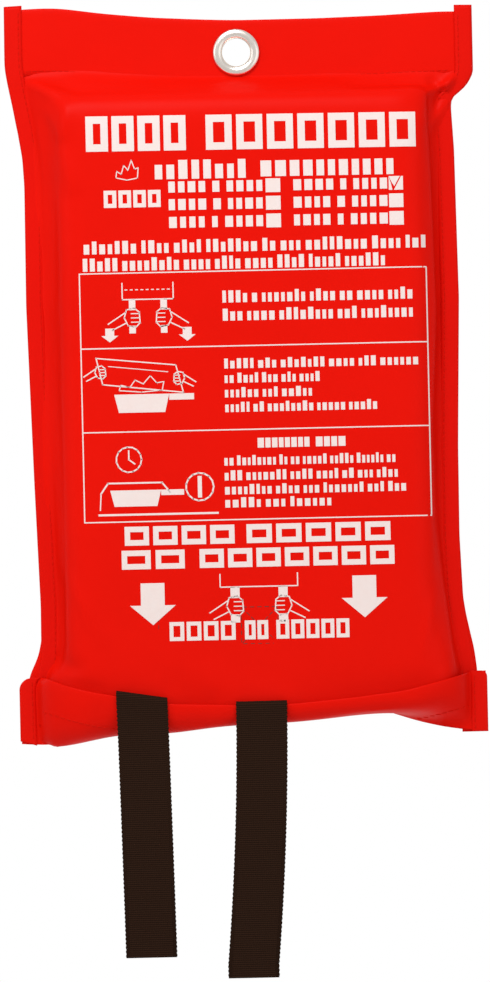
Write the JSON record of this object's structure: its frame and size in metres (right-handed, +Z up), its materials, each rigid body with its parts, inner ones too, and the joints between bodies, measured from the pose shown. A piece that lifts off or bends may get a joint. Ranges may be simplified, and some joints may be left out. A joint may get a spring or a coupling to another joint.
{
  "type": "fire blanket",
  "caption": "Folded glass-fibre fire blanket in a red soft wall pouch with a nickel eyelet, a folded bottom lip and two black webbing pull tapes.",
  "frame": {"origin": "middle of the eyelet's bore, at the plane of the side seams", "axes": "+Z up the hanging pouch, +Y back towards the wall, +X to the right seen from the front"},
  "size_m": [0.2306, 0.0311, 0.4735],
  "materials": {
    "red_fabric": "satin",
    "red_binding": "satin",
    "red_thread": "satin",
    "white_ink": "satin",
    "nickel": "polished",
    "glass_cloth": "matte",
    "black_webbing": "matte",
    "black_thread": "matte"
  },
  "bodies": {
    "pouch": {"front_panel": "red_fabric", "back_panel": "red_fabric", "header_band": "red_fabric", "left_side_binding": "red_binding", "right_side_binding": "red_binding", "eyelet": "nickel", "eyelet_washer": "nickel", "header_stitching": "red_thread", "left_binding_stitching": "red_thread", "right_binding_stitching": "red_thread"},
    "bottom_lip": {"bottom_lip": "red_fabric", "lip_left_binding": "red_binding", "lip_right_binding": "red_binding", "lip_hem_stitching": "red_thread", "lip_seam_stitching": "red_thread", "lip_left_stitching": "red_thread", "lip_right_stitching": "red_thread"},
    "blanket": {"folded_blanket": "glass_cloth", "left_tape_sewn_end": "black_webbing", "right_tape_sewn_end": "black_webbing", "left_tape_box_stitch": "black_thread", "right_tape_box_stitch": "black_thread"},
    "left_tape": {"left_tape_hanging": "black_webbing"},
    "right_tape": {"right_tape_hanging": "black_webbing"}
  },
  "joints": [
    {"name": "blanket_release", "type": "slide", "parent": "pouch", "child": "blanket", "axis": [0, 0, -1], "range_m": [0, 0.34]},
    {"name": "lip_open", "type": "hinge", "parent": "pouch", "child": "bottom_lip", "pos_m": [0, 0.0044, -0.334], "axis": [1, 0, 0], "range_deg": [0, 95], "deforming": ["bottom_lip", "lip_left_binding", "lip_right_binding", "lip_hem_stitching", "lip_seam_stitching", "lip_left_stitching", "lip_right_stitching"]},
    {"name": "left_tape_swing", "type": "hinge", "parent": "blanket", "child": "left_tape", "pos_m": [-0.052, -0.0245, -0.31385], "axis": [-1, 0, 0], "range_deg": [0, 90]},
    {"name": "right_tape_swing", "type": "hinge", "parent": "blanket", "child": "right_tape", "pos_m": [0.004, -0.0245, -0.31985], "axis": [-1, 0, 0], "range_deg": [0, 90]}
  ],
  "couplings": [
    {"joint": "lip_open", "follows": "blanket_release", "rad_per_m": 4.62}
  ]
}
